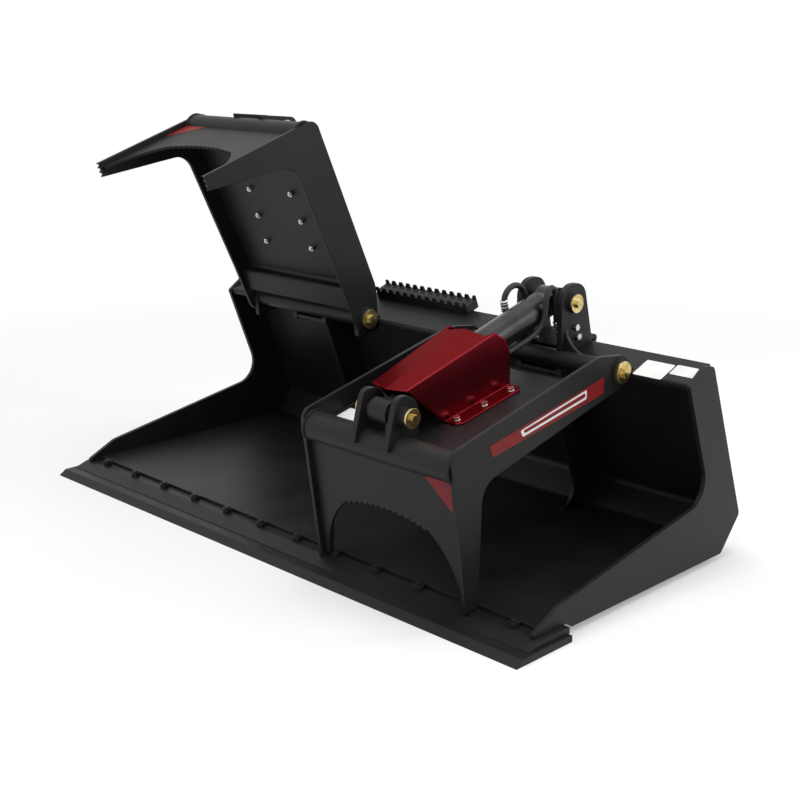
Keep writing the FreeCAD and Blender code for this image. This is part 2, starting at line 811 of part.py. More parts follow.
def make_guard(skin):
    """Folded cover over the cylinder: two top facets, two upright sides and a bolted flange on each."""
    skin_up = FreeCAD.Vector(0, -math.sin(arm_angle), math.cos(arm_angle))
    down = FreeCAD.Vector(0, 0, -1)
    corners = []
    for point in (guard_outer_front, guard_fold_front, guard_inner_front):
        corners.append(on_guard_top(*point[:2]))
    notch = []
    for x, y in ((guard_outer_rear[0] - guard_notch_lead, guard_outer_rear[1] - guard_notch_depth),
                 (guard_fold_rear[0], guard_fold_rear[1]),
                 (guard_inner_rear[0] + guard_notch_lead, guard_inner_rear[1] - guard_notch_depth)):
        notch.append(on_guard_top(x, y))
    outer_rear = on_guard_top(*guard_outer_rear[:2])
    inner_rear = on_guard_top(*guard_inner_rear)
    guard = sheet_facet([corners[0], outer_rear, notch[0], notch[1], corners[1]], down)
    guard = guard.fuse(sheet_facet([corners[1], notch[1], notch[2], inner_rear, corners[2]], down))
    for edge, front, rear in ((1, corners[0], outer_rear), (-1, corners[2], inner_rear)):
        low_front = on_guard_side(edge, guard_foot_front, skin_height(guard_foot_front))
        low_rear = on_guard_side(edge, guard_foot_rear, skin_height(guard_foot_rear))
        high = on_guard_side(edge, *guard_chamfer_high)
        low = on_guard_side(edge, *guard_chamfer_low)
        side = [front, rear, high, low, low_rear, low_front]
        guard = guard.fuse(sheet_facet(side, FreeCAD.Vector(-edge, 0, 0)))
        inward = FreeCAD.Vector(-edge * guard_thickness, 0, 0)
        out = FreeCAD.Vector(edge * guard_flange, 0, 0)
        back = (low_rear - low_front).normalize() * guard_flange_corner
        in_corner = FreeCAD.Vector(-edge * guard_flange_corner, 0, 0)
        flange = [low_front + inward, low_rear + inward, low_rear, low_rear + out + in_corner,
                  low_rear + out - back, low_front + out + back, low_front + out + in_corner, low_front]
        guard = guard.fuse(sheet_facet(flange, skin_up))
    guard = guard.cut(skin)
    for centre in guard_bolt_places():
        guard = guard.cut(Part.makeCylinder(guard_bolt_diameter / 2.0 + bolt_hole_clearance, 20.0,
                                            centre - skin_up * 2.0, skin_up))
    return guard.removeSplitter()


def guard_bolt_places():
    """Middles of the six guard bolts, on the skin plate's top face."""
    first, last = guard_bolt_span
    places = []
    for y in (first, (first + last) / 2.0, last):
        for row in (guard_inner_bolts, guard_outer_bolts):
            x = row[0] + (row[1] - row[0]) * (y - first) / (last - first)
            places.append(FreeCAD.Vector(grapple_centre + x, y, skin_height(y)))
    return places


def make_guard_bolts():
    skin_up = FreeCAD.Vector(0, -math.sin(arm_angle), math.cos(arm_angle))
    pieces = []
    for centre in guard_bolt_places():
        low = centre - skin_up * (skin_thickness + 13.0)
        high = centre + skin_up * guard_thickness
        shank = Part.makeCylinder(guard_bolt_diameter / 2.0, (high - low).Length, low, skin_up)
        washer = Part.makeCylinder(guard_bolt_flats * 0.62, 2.0, high, skin_up)
        head = hexagon(high + skin_up * 2.0, skin_up, guard_bolt_flats, 7.0)
        pieces.append(shank.fuse(washer).fuse(head))
        nut_start = centre - skin_up * skin_thickness
        nut = hexagon(nut_start, skin_up * -1.0, guard_bolt_flats, 9.0)
        bore = Part.makeCylinder(guard_bolt_diameter / 2.0 + running_fit, 12.0,
                                 nut_start + skin_up, skin_up * -1.0)
        pieces.append(nut.cut(bore))
    return solids_of(pieces)


# Hydraulic cylinder, drawn along -Y from its base eye at the origin and then turned into place
def cylinder_line(length):
    """Base and rod pieces of the cylinder when its two eyes are length apart."""
    axis = FreeCAD.Vector(0, -1, 0)
    outer = barrel_diameter / 2.0
    inner = outer - barrel_wall

    def round_piece(radius, start, end):
        return Part.makeCylinder(radius, end - start, FreeCAD.Vector(0, -start, 0), axis)
    barrel = round_piece(outer, barrel_start, barrel_end)
    barrel = barrel.cut(round_piece(inner, barrel_start + barrel_floor, barrel_end))
    eye = bar_x((0, 0), base_eye_radius, -base_eye_width / 2.0, base_eye_width / 2.0)
    hub = cylinder_ear_gap / 2.0 - pin_side_gap
    eye = eye.fuse(bar_x((0, 0), base_hub_radius, -hub, hub))
    neck = box(-base_eye_width / 2.0, base_eye_width / 2.0, -barrel_start - 2.0, 0.0,
               -base_eye_radius * 0.8, base_eye_radius * 0.8)
    barrel = barrel.fuse(eye).fuse(neck)
    pin_radius = cylinder_pin_diameter / 2.0
    barrel = barrel.cut(bar_x((0, 0), pin_radius + running_fit, -cylinder_ear_gap, cylinder_ear_gap))
    for place, edge in ((base_port_place, -1), (rod_port_place, 1)):
        start = port_out(edge) * (outer - 3.0) - FreeCAD.Vector(0, place, 0)
        barrel = barrel.fuse(Part.makeCylinder(port_radius, port_reach + 3.0, start, port_out(edge)))
    barrel = barrel.removeSplitter()
    gland = round_piece(outer - 2.0, barrel_end, barrel_end + gland_length)
    gland = gland.fuse(round_piece(inner, barrel_end - 20.0, barrel_end))
    rod_bore = rod_diameter / 2.0 + running_fit
    gland = gland.cut(round_piece(rod_bore, barrel_end - 25.0, barrel_end + gland_length + 5.0))
    rod_start = length - rod_length
    rod = round_piece(rod_diameter / 2.0, rod_start, length - rod_eye_radius + 4.0)
    piston = round_piece(inner - running_fit, rod_start, rod_start + piston_length)
    piston = piston.cut(round_piece(rod_diameter / 2.0, rod_start - 1.0, rod_start + piston_length + 1.0))
    rod_eye = bar_x((-length, 0), rod_eye_radius, -rod_eye_width / 2.0, rod_eye_width / 2.0)
    neck_radius = rod_diameter / 2.0 + 5.0
    rod_eye = rod_eye.fuse(round_piece(neck_radius, length - rod_eye_radius - 14.0, length - 12.0))
    rod_eye = rod_eye.cut(bar_x((-length, 0), pin_radius + running_fit, -rod_eye_width, rod_eye_width))
    rod_eye = rod_eye.cut(rod)
    base_pin = bar_x((0, 0), pin_radius, -hub, hub)
    return {"barrel": barrel, "base_pin": base_pin, "barrel_gland": gland, "piston_rod": rod,
            "piston": piston, "rod_eye": rod_eye, "barrel_fittings": make_barrel_fittings()}


def make_barrel_fittings():
    """Elbows on the two ports; each hose starts at an elbow's open end."""
    outer = barrel_diameter / 2.0
    elbows = []
    for place, edge in ((base_port_place, -1), (rod_port_place, 1)):
        middle = elbow_middle(place, edge)
        start = port_out(edge) * (outer + port_reach) - FreeCAD.Vector(0, place, 0)
        foot = Part.makeCylinder(elbow_radius, (middle - start).Length, start, port_out(edge))
        run = elbow_run(place)
        arm = Part.makeCylinder(elbow_radius, elbow_reach, middle, run)
        knee_ball = Part.makeSphere(elbow_radius, middle)
        collar = hexagon(middle + run * (elbow_reach - collar_height), run, collar_flats, collar_height)
        elbows.append(foot.fuse(knee_ball).fuse(arm).fuse(collar))
    return solids_of(elbows)


def port_out(edge):
    """Direction in which a port leaves the barrel: inward at the base, outward and down at the rod."""
    if edge < 0:
        return FreeCAD.Vector(-1, 0, 0)
    drop = math.radians(rod_port_drop)
    return FreeCAD.Vector(math.cos(drop), 0, -math.sin(drop))


def elbow_middle(place, edge):
    reach = barrel_diameter / 2.0 + port_reach + elbow_radius + 1.0
    return port_out(edge) * reach - FreeCAD.Vector(0, place, 0)


def elbow_run(place):
    """Direction in which the hose leaves the elbow, in the cylinder's own frame."""
    if place == base_port_place:
        return FreeCAD.Vector(0, 0, 1)
    return FreeCAD.Vector(0, 1, 0)


def turn_about(shape, point, degrees):
    copy = shape.copy()
    copy.rotate(vec(0, point), FreeCAD.Vector(1, 0, 0), degrees)
    return copy


def turned_point(point, centre, degrees):
    angle = math.radians(degrees)
    y = point[0] - centre[0]
    z = point[1] - centre[1]
    return (centre[0] + y * math.cos(angle) - z * math.sin(angle),
            centre[1] + y * math.sin(angle) + z * math.cos(angle))


def cylinder_pose(rod_point):
    """Length between the eyes and the turn about X that lays the cylinder from its base to rod_point."""
    run = (rod_point[0] - cylinder_base[0], rod_point[1] - cylinder_base[1])
    length = math.hypot(run[0], run[1])
    degrees = math.degrees(math.atan2(-run[1], -run[0]))
    return length, degrees


def place_cylinder(shape, degrees, centre_x):
    copy = shape.copy()
    copy.rotate(FreeCAD.Vector(0, 0, 0), FreeCAD.Vector(1, 0, 0), degrees)
    copy.translate(vec(centre_x, cylinder_base))
    return copy


def hose_tube(route, diameter):
    """Tube along straight runs joined by tangent arcs; route is a list of points."""
    edges = []
    last = route[0]
    length = 0.0
    radii = []
    for index in range(1, len(route) - 1):
        here = route[index]
        back = (route[index - 1] - here)
        ahead = (route[index + 1] - here)
        shorter = min(back.Length, ahead.Length)
        back = back.normalize()
        ahead = ahead.normalize()
        turn = math.pi - back.getAngle(ahead)
        reach = 0.45 * shorter
        radius = reach / math.tan(turn / 2.0)
        radii.append(radius)
        start = here + back * reach
        end = here + ahead * reach
        half = (math.pi - turn) / 2.0
        bisector = (back + ahead).normalize()
        middle = here + bisector * (radius / math.sin(half) - radius)
        edges.append(Part.makeLine(last, start))
        edges.append(Part.Arc(start, middle, end).toShape())
        length += (start - last).Length + radius * turn
        last = end
    edges.append(Part.makeLine(last, route[-1]))
    length += (route[-1] - last).Length
    wire = Part.Wire(edges)
    first = (route[1] - route[0]).normalize()
    circle = Part.Wire([Part.makeCircle(diameter / 2.0, route[0], first)])
    tube = wire.makePipeShell([circle], True, False)
    expected = math.pi * diameter ** 2 / 4.0 * length
    print("hose length", round(length, 1), "volume ratio", round(tube.Volume / expected, 4),
          "smallest bend", round(min(radii), 1))
    return tube


# Hose routes at the right-hand place, as (x from the cylinder's middle, y, z), between the block's pipe
# and the elbow on the barrel
closed_base_hose = [(-48, 181, 640), (-50, 175, 668), (-50, 160, 694), (-50, 132, 704),
                    (-50, 105, 696)]
closed_rod_hose = [(48, 181, 640), (50, 175, 668), (50, 163, 696), (50, 138, 707), (51, 114, 688),
                   (52, 98, 658), (53, 80, 624), (53, 50, 596), (51, 18, 582), (48, -14, 573),
                   (40, -42, 551)]
open_base_hose = [(-48, 184, 640), (-50, 189, 668), (-50, 206, 692), (-50, 226, 712),
                  (-51, 238, 738), (-52, 231, 768)]
open_rod_hose = [(48, 184, 640), (50, 191, 668), (50, 208, 690), (50, 225, 709), (49, 227, 736),
                 (48.6, 209, 754), (48.2, 187, 762), (48, 160, 775), (41.5, 127, 801), (31, 95, 842),
                 (26.5, 72, 886)]


def pipe_top(side, edge, beyond):
    """Point on a pipe's line, beyond its open end on the block between the ears."""
    place = on_back(pipe_depth, back_height + block_height + pipe_length + beyond)
    return FreeCAD.Vector(side * (grapple_centre + edge * pipe_place), place[0], place[1])


def on_cylinder(point, degrees, side):
    """A point of the cylinder's own frame, in the machine's frame."""
    turned = turned_point((point.y, point.z), (0.0, 0.0), degrees)
    return FreeCAD.Vector(side * (grapple_centre + point.x), cylinder_base[0] + turned[0],
                          cylinder_base[1] + turned[1])


def hose_route(points, place, edge, degrees, side):
    """The route as points, from the pipe's open end to the elbow's, both met square."""
    route = [pipe_top(side, edge, 0.0), pipe_top(side, edge, hose_lead)]
    for x, y, z in points:
        route.append(FreeCAD.Vector(side * (grapple_centre + x), y, z))
    run = elbow_run(place)
    end = elbow_middle(place, edge) + run * elbow_reach
    route.append(on_cylinder(end + run * hose_lead, degrees, side))
    route.append(on_cylinder(end, degrees, side))
    return route


def make_hose_block():
    """Steel block between the ears that feeds the two hoses."""
    corners = [on_back(block_front, back_height), on_back(block_rear, back_height),
               on_back(block_rear, back_height + block_height),
               on_back(block_front, back_height + block_height)]
    return plate(corners, grapple_centre - block_half, grapple_centre + block_half)


def make_block_fittings():
    pieces = []
    up = FreeCAD.Vector(0, back_up[0], back_up[1])
    for edge in (-1, 1):
        end = pipe_top(1, edge, 0.0)
        pipe = Part.makeCylinder(elbow_radius, pipe_length, end - up * pipe_length, up)
        top_collar = hexagon(end - up * (collar_height * 2.0), up, collar_flats, collar_height * 1.5)
        foot_collar = hexagon(end - up * pipe_length, up, collar_flats + 2.0, collar_height)
        pieces.append(pipe.fuse(top_collar).fuse(foot_collar))
    for place in ear_bolt_places:
        start = vec(grapple_centre + ear_outer, place)
        pieces.append(hexagon(start, (1, 0, 0), guard_bolt_flats, 9.0))
    return pieces


def make_base_pin_ends():
    """The two ends of the base pin, which turn in the ears; its middle moves with the barrel."""
    ends = []
    for edge in (-1, 1):
        inside = grapple_centre + edge * ear_inner
        outside = grapple_centre + edge * (ear_outer + ear_boss_height)
        face = outside + edge * pin_washer_thickness
        end = bar_x(cylinder_base, cylinder_pin_diameter / 2.0, min(inside, outside), max(inside, outside))
        end = end.fuse(bar_x(cylinder_base, pin_washer_radius, min(outside, face), max(outside, face)))
        head = hexagon(vec(face, cylinder_base), (edge, 0, 0), pin_head_flats, pin_head_height)
        ends.append(end.fuse(head))
    return solids_of(ends)


# Bucket nodes
top_bar = make_top_bar()
nodes["bucket_shell"] = make_shell()
right_side = make_side_plate()
nodes["right_side_plate"] = right_side
nodes["left_side_plate"] = mirrored(right_side)
nodes["top_bar"] = top_bar
nodes["base_edge"] = make_edge(base_edge_tip, base_edge_rear, base_edge_bevel, base_edge_length,
                               edge_thickness)
nodes["bolt_on_edge"] = make_edge(wear_edge_tip, wear_edge_rear, wear_edge_bevel, wear_edge_length, 0.0)
nodes["edge_bolts"] = make_edge_bolts()
nodes["edge_nuts"] = make_edge_nuts()
nodes["wear_runners"] = make_runners()
nodes["back_ribs"] = make_ribs(top_bar)
nodes["mounting_plate"] = make_mounting_plate()
nodes["mounting_top_hook"] = make_top_hook()
nodes["mounting_lower_rail"] = make_lower_rail(nodes["bucket_shell"], nodes["mounting_plate"])
nodes["step_tread"] = make_step()
nodes["pivot_tubes"] = solids_of(both_sides([make_pivot_tube()]))
nodes["pivot_lugs"] = solids_of(both_sides(make_lug(top_bar)))
nodes["cylinder_ears"] = solids_of(both_sides(make_cylinder_ears(top_bar)))
nodes["ear_gussets"] = solids_of(both_sides(make_ear_gussets()))
nodes["right_base_pin_ends"] = make_base_pin_ends()
nodes["left_base_pin_ends"] = mirrored(nodes["right_base_pin_ends"])
nodes["hose_blocks"] = solids_of(both_sides([make_hose_block()]))
nodes["hose_fittings"] = solids_of(both_sides(make_block_fittings()))

# Grapple nodes: the right one is closed, the left one is its mirror image, swung open
knuckle_tube = make_knuckle_tube()
skin = make_skin()
tube_outside = bar_x(knuckle_tube_place, knuckle_tube_diameter / 2.0, 0.0, bucket_width)
grapple = {
    "inner_plate": make_grapple_plate(-1),
    "outer_plate": make_grapple_plate(1),
    "pivot_pins": make_pivot_pins(),
    "skin_plate": skin,
    "knuckle_tube": knuckle_tube,
    "front_plate": make_front_plate(tube_outside),
    "knuckle_ears": make_knuckle_ears([tube_outside, skin]),
    "knuckle_pin": make_knuckle_pin(),
    "cylinder_guard": make_guard(skin),
    "guard_bolts": make_guard_bolts(),
}
for centre in guard_bolt_places():
    skin_up = FreeCAD.Vector(0, -math.sin(arm_angle), math.cos(arm_angle))
    radius = guard_bolt_diameter / 2.0 + bolt_hole_clearance
    hole = Part.makeCylinder(radius, 60.0, centre - skin_up * 30.0, skin_up)
    grapple["skin_plate"] = grapple["skin_plate"].cut(hole)
for name, shape in grapple.items():
    nodes["right_" + name] = shape
    nodes["left_" + name] = turn_about(mirrored(shape), pivot, -open_angle)

# Cylinder nodes
open_knuckle = turned_point(knuckle_pivot, pivot, -open_angle)
for side, word, rod_point in ((1, "right", knuckle_pivot), (-1, "left", open_knuckle)):
    length, degrees = cylinder_pose(rod_point)
    print(word, "cylinder length", round(length, 2), "turn", round(degrees, 3), "rod end", rod_point)
    for name, shape in cylinder_line(length).items():
        placed = place_cylinder(shape, degrees, grapple_centre)
        nodes[word + "_" + name] = placed if side > 0 else mirrored(placed)
    base_points = closed_base_hose if side > 0 else open_base_hose
    rod_points = closed_rod_hose if side > 0 else open_rod_hose
    base_route = hose_route(base_points, base_port_place, -1, degrees, side)
    rod_route = hose_route(rod_points, rod_port_place, 1, degrees, side)
    nodes[word + "_base_hose"] = hose_tube(base_route, hose_diameter)
    nodes[word + "_rod_hose"] = hose_tube(rod_route, hose_diameter)

for name, shape in nodes.items():
    valid = shape.isValid()
    if not valid or not shape.Solids:
        print("check", name, "valid", valid, "solids", len(shape.Solids))
    shape.exportStep("parts/" + name + ".step")
print(len(nodes), "nodes")
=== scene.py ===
import bpy
import bmesh
import json
import math
from mathutils import Matrix, Vector


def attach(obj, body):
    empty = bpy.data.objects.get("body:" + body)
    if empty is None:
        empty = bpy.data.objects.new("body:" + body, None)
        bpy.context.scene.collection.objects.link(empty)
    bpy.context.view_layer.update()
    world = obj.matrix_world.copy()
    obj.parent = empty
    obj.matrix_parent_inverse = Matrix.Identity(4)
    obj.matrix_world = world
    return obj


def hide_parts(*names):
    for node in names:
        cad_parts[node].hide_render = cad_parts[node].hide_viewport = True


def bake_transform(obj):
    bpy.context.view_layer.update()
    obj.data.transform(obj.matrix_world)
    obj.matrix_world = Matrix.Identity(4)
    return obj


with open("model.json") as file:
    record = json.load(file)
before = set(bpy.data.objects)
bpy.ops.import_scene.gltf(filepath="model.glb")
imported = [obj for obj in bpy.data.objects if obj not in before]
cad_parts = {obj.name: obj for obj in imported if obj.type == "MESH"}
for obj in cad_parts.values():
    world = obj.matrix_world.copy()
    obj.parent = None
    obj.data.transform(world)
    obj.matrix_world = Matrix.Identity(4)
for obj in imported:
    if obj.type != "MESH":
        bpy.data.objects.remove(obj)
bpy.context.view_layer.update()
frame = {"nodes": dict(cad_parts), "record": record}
nodes = frame["nodes"]
print("frame loaded:", len(nodes), "nodes")


def hexColor(code):
    # sRGB hex to the linear colour that a shader wants
    out = []
    for start in (0, 2, 4):
        value = int(code.lstrip("#")[start:start + 2], 16) / 255
        out.append(value / 12.92 if value <= 0.04045 else ((value + 0.055) / 1.055) ** 2.4)
    return (*out, 1)


def addNode(tree, kind, settings=None, links=None, **attributes):
    node = tree.nodes.new(kind)
    for name, value in attributes.items():
        setattr(node, name, value)
    for name, value in (settings or {}).items():
        node.inputs[name].default_value = value
    for name, source in (links or {}).items():
        tree.links.new(source, node.inputs[name])
    return node


def newMaterial(name):
    material = bpy.data.materials.new(name)
    material.use_nodes = True
    tree = material.node_tree
    place = tree.nodes.new("ShaderNodeTexCoord").outputs["Object"]
    return material, tree, tree.nodes["Principled BSDF"], place


def mixedColor(tree, factor, low, high, start=0.35, end=0.65):
    ramp = addNode(tree, "ShaderNodeValToRGB", links={"Fac": factor})
    for element, position, code in zip(ramp.color_ramp.elements, (start, end), (low, high)):
        element.position = position
        element.color = hexColor(code)
    return ramp.outputs["Color"]


def mappedValue(tree, factor, low, high, start=0.0, end=1.0):
    limits = {"From Min": start, "From Max": end, "To Min": low, "To Max": high}
    return addNode(tree, "ShaderNodeMapRange", limits, {"Value": factor}).outputs["Result"]


def noise(tree, place, scale, detail=2.0, distortion=0.0):
    made = addNode(tree, "ShaderNodeTexNoise", {"Scale": scale, "Detail": detail, "Distortion": distortion},
                   {"Vector": place})
    return made.outputs["Fac"]


def addRelief(tree, shader, height, finish, corner=None):
    # fine relief of the finish, on top of corners rounded by the bevel node where there is one
    links = {"Height": height}
    if corner:
        links["Normal"] = corner.outputs["Normal"]
    depth = {"Strength": finish["relief"], "Distance": finish["reliefHeight"]}
    bump = addNode(tree, "ShaderNodeBump", depth, links)
    tree.links.new(bump.outputs["Normal"], shader.inputs["Normal"])


def roundedCorner(tree, finish):
    samples = finish["cornerSamples"]
    return addNode(tree, "ShaderNodeBevel", {"Radius": finish["cornerRadius"]}, samples=samples)


# Polyester powder coat on laser-cut steel: satin black with a fine orange peel, cut corners that
# catch a soft line of light, and a little dust in the open faces
powderCoat = {
    "dark": "#19191a", "light": "#202021", "dust": "#302f2d",
    "peelPerMetre": 260,       # real orange peel is about 2 mm, drawn 4 mm so that it shows
    "cloudPerMetre": 6, "cloudDetail": 4.0, "specksPerMetre": 700, "specksFrom": 0.66, "specksFull": 0.8,
    "dustMost": 0.5, "roughLow": 0.40, "roughHigh": 0.48, "cloudFrom": 0.3, "cloudTo": 0.7, "gloss": 0.20,
    "relief": 0.5, "reliefHeight": 0.00005, "cornerRadius": 0.0028, "cornerSamples": 6,
}


def makePowderCoat():
    p = powderCoat
    material, tree, shader, place = newMaterial("blackPowderCoat")
    cloud = noise(tree, place, p["cloudPerMetre"], p["cloudDetail"])
    specks = noise(tree, place, p["specksPerMetre"], 1.0)
    dusty = addNode(tree, "ShaderNodeMixRGB", {"Color2": hexColor(p["dust"])},
                    {"Fac": mappedValue(tree, specks, 0.0, p["dustMost"], p["specksFrom"], p["specksFull"]),
                     "Color1": mixedColor(tree, cloud, p["dark"], p["light"])})
    tree.links.new(dusty.outputs["Color"], shader.inputs["Base Color"])
    shader.inputs["Specular IOR Level"].default_value = p["gloss"]
    rough = mappedValue(tree, cloud, p["roughLow"], p["roughHigh"], p["cloudFrom"], p["cloudTo"])
    tree.links.new(rough, shader.inputs["Roughness"])
    addRelief(tree, shader, noise(tree, place, p["peelPerMetre"]), p, roundedCorner(tree, p))
    return material


# Candy red powder coat: a clear red layer over fine metal flake, so its reflections are red too, glossier
# than the black, with press-brake bends that run light along the fold
candyRed = {
    "deep": "#6c141d", "flake": "#8a2a33", "edge": "#b8686e",
    "flakePerMetre": 420, "flakeFrom": 0.3, "flakeTo": 0.8,
    "cloudPerMetre": 9, "peelPerMetre": 240, "metal": 0.93, "rough": 0.27, "roughSpread": 0.08,
    "clearCoat": 0.05, "clearRough": 0.15,
    "relief": 0.4, "reliefHeight": 0.00004, "cornerRadius": 0.006, "cornerSamples": 8,
}


def makeCandyRed():
    p = candyRed
    material, tree, shader, place = newMaterial("candyRedPowderCoat")
    flake = noise(tree, place, p["flakePerMetre"], 1.0)
    color = mixedColor(tree, flake, p["deep"], p["flake"], p["flakeFrom"], p["flakeTo"])
    cloud = noise(tree, place, p["cloudPerMetre"])
    rough = mappedValue(tree, cloud, p["rough"], p["rough"] + p["roughSpread"])
    tree.links.new(color, shader.inputs["Base Color"])
    tree.links.new(rough, shader.inputs["Roughness"])
    shader.inputs["Metallic"].default_value = p["metal"]
    shader.inputs["Specular Tint"].default_value = hexColor(p["edge"])
    shader.inputs["Coat Weight"].default_value = p["clearCoat"]
    shader.inputs["Coat Roughness"].default_value = p["clearRough"]
    addRelief(tree, shader, noise(tree, place, p["peelPerMetre"]), p, roundedCorner(tree, p))
    return material


# Bare and plated metals: the plating drifts in tone over a few centimetres and has a fine grain
metals = {
    "yellowZincPlate": {"low": "#b09552", "high": "#e0cf98", "perMetre": 55, "rough": 0.28, "grain": 900},
    "brightZincPlate": {"low": "#b4b7bb", "high": "#dcdee1", "perMetre": 70, "rough": 0.24, "grain": 800},
    "hardChromeRod": {"low": "#c3c6ca", "high": "#d6d8da", "perMetre": 8, "rough": 0.09, "grain": 1400},
    "machinedSteel": {"low": "#7d7f82", "high": "#9a9c9f", "perMetre": 30, "rough": 0.36, "grain": 1100},
}
metalSurface = {"toneDetail": 3.0, "toneDistortion": 0.6, "roughLess": 0.04, "roughMore": 0.06,
                "relief": 0.35, "reliefHeight": 0.00003, "cornerRadius": 0.0012, "cornerSamples": 4}


def makeMetal(name):
    p = {**metalSurface, **metals[name]}
    material, tree, shader, place = newMaterial(name)
    tone = noise(tree, place, p["perMetre"], p["toneDetail"], p["toneDistortion"])
    grain = noise(tree, place, p["grain"], 1.0)
    rough = mappedValue(tree, grain, p["rough"] - p["roughLess"], p["rough"] + p["roughMore"])
    tree.links.new(mixedColor(tree, tone, p["low"], p["high"]), shader.inputs["Base Color"])
    tree.links.new(rough, shader.inputs["Roughness"])
    shader.inputs["Metallic"].default_value = 1.0
    addRelief(tree, shader, grain, p, roundedCorner(tree, p))
    return material


# Synthetic rubber hose cover, moulded against cloth: near black, dull, with the cloth's fine print
hoseRubber = {"low": "#0d0d0e", "high": "#1a1a1b", "clothPerMetre": 620, "tonePerMetre": 30,
              "rough": 0.52, "roughSpread": 0.12, "relief": 0.6, "reliefHeight": 0.0002}


def makeRubber():
    p = hoseRubber
    material, tree, shader, place = newMaterial("clothWrappedRubber")
    weave = noise(tree, place, p["clothPerMetre"], 1.0)
    tone = noise(tree, place, p["tonePerMetre"])
    tree.links.new(mixedColor(tree, tone, p["low"], p["high"]), shader.inputs["Base Color"])
    rough = mappedValue(tree, weave, p["rough"], p["rough"] + p["roughSpread"])
    tree.links.new(rough, shader.inputs["Roughness"])
    addRelief(tree, shader, weave, p)
    return material


# Printed vinyl film under a clear layer: a flat even colour with a faint waviness
vinyls = {
    "redVinyl": {"low": "#720d11", "high": "#7e1115", "rough": 0.46},
    "whiteVinyl": {"low": "#e4e4e2", "high": "#f0f0ee", "rough": 0.36},
}
filmSurface = {"cloudPerMetre": 25, "peelPerMetre": 320, "roughLess": 0.03, "roughMore": 0.05, "gloss": 0.3,
               "relief": 0.3, "reliefHeight": 0.00003}


def makeVinyl(name):
    p = {**filmSurface, **vinyls[name]}
    material, tree, shader, place = newMaterial(name)
    cloud = noise(tree, place, p["cloudPerMetre"])
    rough = mappedValue(tree, cloud, p["rough"] - p["roughLess"], p["rough"] + p["roughMore"])
    tree.links.new(mixedColor(tree, cloud, p["low"], p["high"]), shader.inputs["Base Color"])
    tree.links.new(rough, shader.inputs["Roughness"])
    shader.inputs["Specular IOR Level"].default_value = p["gloss"]
    addRelief(tree, shader, noise(tree, place, p["peelPerMetre"]), p)
    return material


# Hard grey-black enamel on the honed cylinder barrels: smoother than the powder coat, with a metal sheen
barrelEnamel = {"low": "#38383a", "high": "#424244", "cloudPerMetre": 14, "cloudDetail": 3.0,
                "peelPerMetre": 300, "metal": 0.8, "rough": 0.22, "roughSpread": 0.08,
                "relief": 0.3, "reliefHeight": 0.00004}


def makeBarrelEnamel():
    p = barrelEnamel
    material, tree, shader, place = newMaterial("barrelEnamel")
    cloud = noise(tree, place, p["cloudPerMetre"], p["cloudDetail"])
    tree.links.new(mixedColor(tree, cloud, p["low"], p["high"]), shader.inputs["Base Color"])
    rough = mappedValue(tree, cloud, p["rough"], p["rough"] + p["roughSpread"])
    tree.links.new(rough, shader.inputs["Roughness"])
    shader.inputs["Metallic"].default_value = p["metal"]
    addRelief(tree, shader, noise(tree, place, p["peelPerMetre"]), p)
    return material


finishes = {
    "black_powder_coat": makePowderCoat(),
    "candy_red": makeCandyRed(),
    "yellow_zinc": makeMetal("yellowZincPlate"),
    "bright_zinc": makeMetal("brightZincPlate"),
    "hard_chrome": makeMetal("hardChromeRod"),
    "bare_steel": makeMetal("machinedSteel"),
    "hose_rubber": makeRubber(),
}
redVinyl, whiteVinyl = makeVinyl("redVinyl"), makeVinyl("whiteVinyl")
for part in frame["record"]["subparts"]:
    mesh = nodes[part["node"]].data
    mesh.materials.clear()
    mesh.materials.append(finishes[part["material_slot"]])
enamel = makeBarrelEnamel()
for name in ("right_barrel", "left_barrel"):
    nodes[name].data.materials[0] = enamel


def finishedPiece(name, bm, material, body=None, smooth=True):
    mesh = bpy.data.meshes.new(name)
    bm.to_mesh(mesh)
    bm.free()
    piece = bpy.data.objects.new(name, mesh)
    bpy.context.scene.collection.objects.link(piece)
    mesh.materials.append(material)
    mesh.shade_smooth() if smooth else mesh.shade_flat()
    if body:
        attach(piece, body)
    return piece


# The two grapples are mirror images; the left one stands open, turned about its pivot
swing = {"pivot": (0.182, 0.514), "openAngle": 79.5}


def openPlace(point):
    turn = Matrix.Rotation(math.radians(-swing["openAngle"]), 4, "X")
    pivot = Vector((0, *swing["pivot"]))
    return turn @ (Vector((-point[0], point[1], point[2])) - pivot) + pivot


def sidePlaces(points, side):
    return [Vector(p) if side == "right" else openPlace(p) for p in points]


